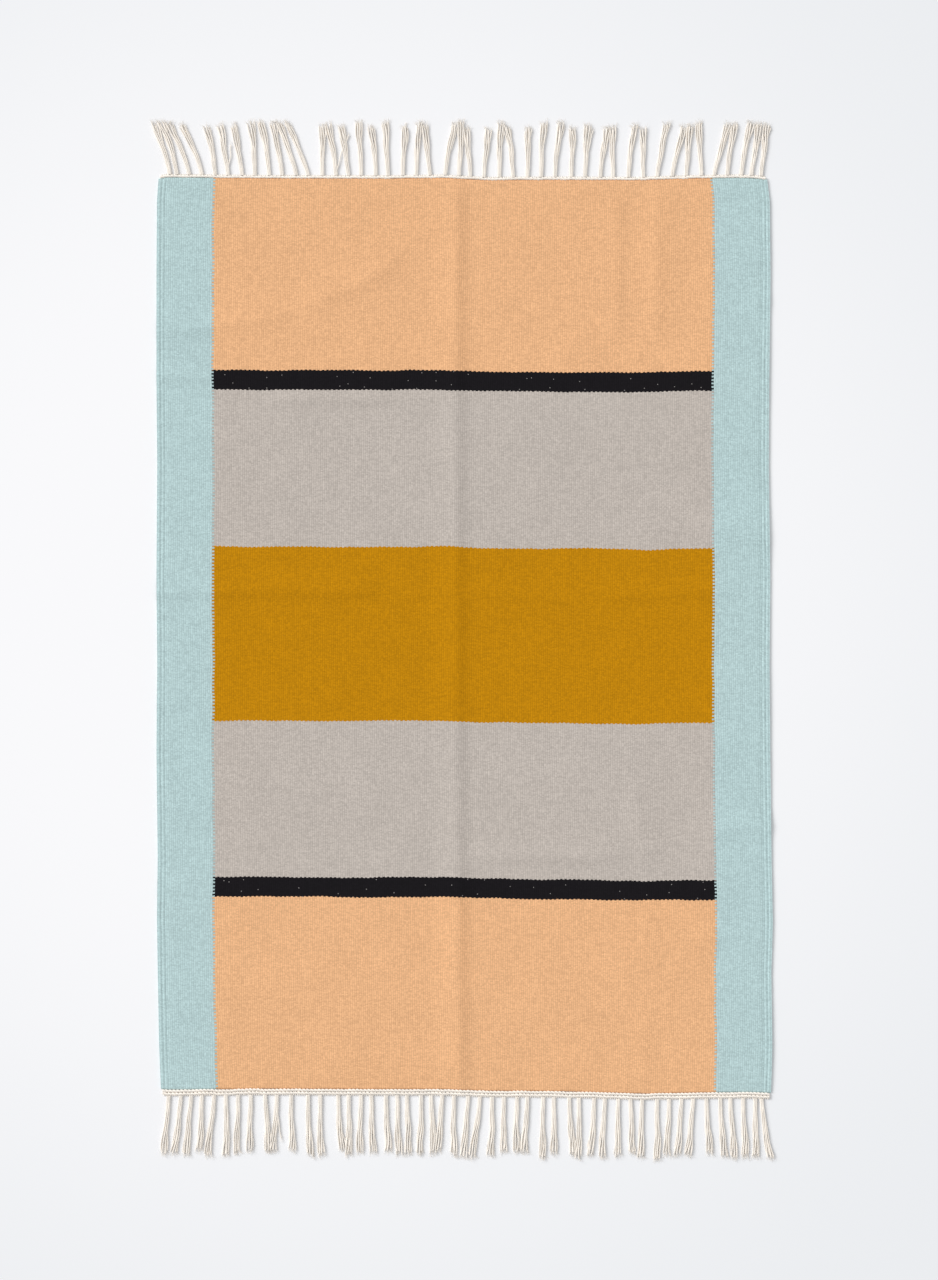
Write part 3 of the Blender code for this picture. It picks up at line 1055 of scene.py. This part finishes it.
def plied_cotton():
    """Undyed cotton yarn, softly spun: matt, cream, with the slant of its plies and painted grey-brown
    shade in the hollows between them.
    """
    material = bpy.data.materials.new("plied_cotton")
    material.use_nodes = True
    tree = material.node_tree
    shader = tree.nodes["Principled BSDF"]
    around = add(tree, "ShaderNodeAttribute", attribute_name="around")
    along = add(tree, "ShaderNodeAttribute", attribute_name="along")
    axes = add(tree, "ShaderNodeSeparateXYZ", {0: around.outputs["Vector"]})
    angle = add(
        tree,
        "ShaderNodeMath",
        {0: axes.outputs["Y"], 1: axes.outputs["X"]},
        operation="ARCTAN2",
    )
    # Two plies, one turn in 9 mm
    twist = add(
        tree,
        "ShaderNodeMath",
        {0: along.outputs["Fac"], 1: math.tau / (9 * MM), 2: angle},
        operation="MULTIPLY_ADD",
    )
    twist = add(tree, "ShaderNodeMath", {0: twist}, operation="SINE")
    twist = add(tree, "ShaderNodeMath", {0: twist}, operation="ABSOLUTE")
    hollow = add(tree, "ShaderNodeMath", {0: twist, 1: 0.5}, operation="POWER")
    place = add(tree, "ShaderNodeTexCoord")
    fibres = add(
        tree,
        "ShaderNodeTexNoise",
        {"Vector": place.outputs["Object"], "Scale": 900.0, "Detail": 2.0},
    )
    stain = add(
        tree,
        "ShaderNodeTexNoise",
        {"Vector": place.outputs["Object"], "Scale": 45.0, "Detail": 2.0},
    )
    # Painted shade: the hollows between the two plies are darkened in the colour
    painted_ply_shade = add(
        tree, "ShaderNodeMapRange", {"Value": hollow, "To Min": 0.95, "To Max": 1.0}
    )
    stained = add(
        tree,
        "ShaderNodeMapRange",
        {
            "Value": stain.outputs[0],
            "From Min": 0.3,
            "From Max": 0.7,
            "To Min": 0.94,
            "To Max": 1.04,
        },
    )
    tone = add(
        tree,
        "ShaderNodeMath",
        {0: painted_ply_shade.outputs["Result"], 1: stained.outputs["Result"]},
        operation="MULTIPLY",
    )
    toned = add(tree, "ShaderNodeHueSaturation", {"Value": tone, "Color": linear(COTTON)})
    relief = add(
        tree,
        "ShaderNodeMath",
        {0: fibres.outputs[0], 1: 0.3, 2: hollow},
        operation="MULTIPLY_ADD",
    )
    bump = add(
        tree,
        "ShaderNodeBump",
        {"Height": relief, "Strength": 0.4, "Distance": 0.2 * MM},
    )
    tree.links.new(toned.outputs[0], shader.inputs["Base Color"])
    tree.links.new(bump.outputs[0], shader.inputs["Normal"])
    shader.inputs["Roughness"].default_value = 0.9
    shader.inputs["Specular IOR Level"].default_value = 0.2
    shader.inputs["Sheen Weight"].default_value = 0.06
    shader.inputs["Sheen Roughness"].default_value = 0.5
    return material


def studio_floor():
    """A matt white studio floor with a painted pool of light: brighter to the left of the rug, with
    painted shade towards its corners.
    """
    material = bpy.data.materials.new("matt_white_floor")
    material.use_nodes = True
    tree = material.node_tree
    shader = tree.nodes["Principled BSDF"]
    place = add(tree, "ShaderNodeTexCoord")
    # Painted light: the floor's colour darkens with distance from a bright place left of the rug
    away = add(
        tree,
        "ShaderNodeVectorMath",
        {0: place.outputs["Object"], 1: FLOOR_PAINTED_LIGHT_MIDDLE},
        operation="DISTANCE",
    )
    share = add(
        tree,
        "ShaderNodeMapRange",
        {"Value": away.outputs["Value"], "From Min": 0.5, "From Max": 1.9},
        interpolation_type="SMOOTHSTEP",
    )
    floor_painted_light = add(
        tree,
        "ShaderNodeMix",
        {0: share.outputs["Result"], 6: linear(FLOOR), 7: linear(FLOOR_PAINTED_SHADE)},
        data_type="RGBA",
    )
    tree.links.new(floor_painted_light.outputs[2], shader.inputs["Base Color"])
    shader.inputs["Roughness"].default_value = 0.9
    shader.inputs["Specular IOR Level"].default_value = 0.0
    return material


# Studio


def add_floor():
    mesh = bpy.data.meshes.new("floor")
    floor = bmesh.new()
    bmesh.ops.create_grid(floor, x_segments=1, y_segments=1, size=12.0)
    floor.to_mesh(mesh)
    floor.free()
    mesh.materials.append(studio_floor())
    piece = new_object("floor", mesh)
    piece.location.z = -0.0002
    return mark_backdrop(piece)


def add_lights():
    """Soft daylight from the upper left over an even fill."""
    sun = bpy.data.lights.new("window light", "SUN")
    sun.energy = SUN_STRENGTH
    sun.angle = math.radians(SUN_SPREAD)
    lamp = bpy.data.objects.new("window light", sun)
    lamp.rotation_euler = Vector(SUN_FROM).to_track_quat("Z", "Y").to_euler()
    bpy.context.scene.collection.objects.link(lamp)
    world = bpy.data.worlds.new("room")
    world.use_nodes = True
    sky = world.node_tree.nodes["Background"]
    sky.inputs["Color"].default_value = linear(DAYLIGHT)
    sky.inputs["Strength"].default_value = FILL_STRENGTH
    bpy.context.scene.world = world


def add_camera():
    """Straight down, framed as the photograph is."""
    scale = PHOTO_MM_PER_PIXEL * MM
    right = (PHOTO_SIZE[0] / 2 - PHOTO_GROUND_MIDDLE[0]) * scale
    down = (PHOTO_SIZE[1] / 2 - PHOTO_GROUND_MIDDLE[1]) * scale
    camera = bpy.data.cameras.new("camera")
    camera.sensor_width = SENSOR / MM
    camera.lens = SENSOR / MM * CAMERA_HEIGHT / (PHOTO_SIZE[1] * scale)
    camera.clip_end = 50.0
    seen = bpy.data.objects.new("camera", camera)
    seen.location = (right, GROUND_SHIFT - down, CAMERA_HEIGHT)
    bpy.context.scene.collection.objects.link(seen)
    bpy.context.scene.camera = seen


def dress(piece, material, node):
    """Gives a piece its finish, and its place on the rug."""
    if material and not piece.data.materials:
        piece.data.materials.append(material)
    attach(piece, "root")
    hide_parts(node)
    return piece


def build():
    """The rug, the studio and the camera."""
    bpy.context.scene.view_settings.view_transform = "Standard"
    wool = weft_faced_wool()
    cotton = plied_cotton()
    cloth = dress(woven_cloth(), wool, "woven_ground")
    trees = {"paths": tassel_tree(cotton), "rows": twined_tree(cotton), "stubs": stub_tree(cotton)}
    for name in HEADINGS:
        yarn = {
            name + "_tassels": laid_along(tassel_paths(name), trees["paths"]),
            name + "_twining": laid_along(cord_rows(name), trees["rows"]),
            name + "_warps": laid_along(warp_stubs(name), trees["stubs"]),
        }
        for title, mesh in yarn.items():
            dress(new_object(title, mesh), cotton, name)
    add_floor()
    add_lights()
    add_camera()


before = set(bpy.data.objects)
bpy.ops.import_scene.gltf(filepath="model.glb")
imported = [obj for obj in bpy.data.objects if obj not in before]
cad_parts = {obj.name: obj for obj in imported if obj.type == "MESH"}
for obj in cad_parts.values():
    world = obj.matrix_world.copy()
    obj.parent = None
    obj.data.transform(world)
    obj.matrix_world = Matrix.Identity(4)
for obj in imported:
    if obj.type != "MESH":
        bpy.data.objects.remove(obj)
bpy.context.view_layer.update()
build()
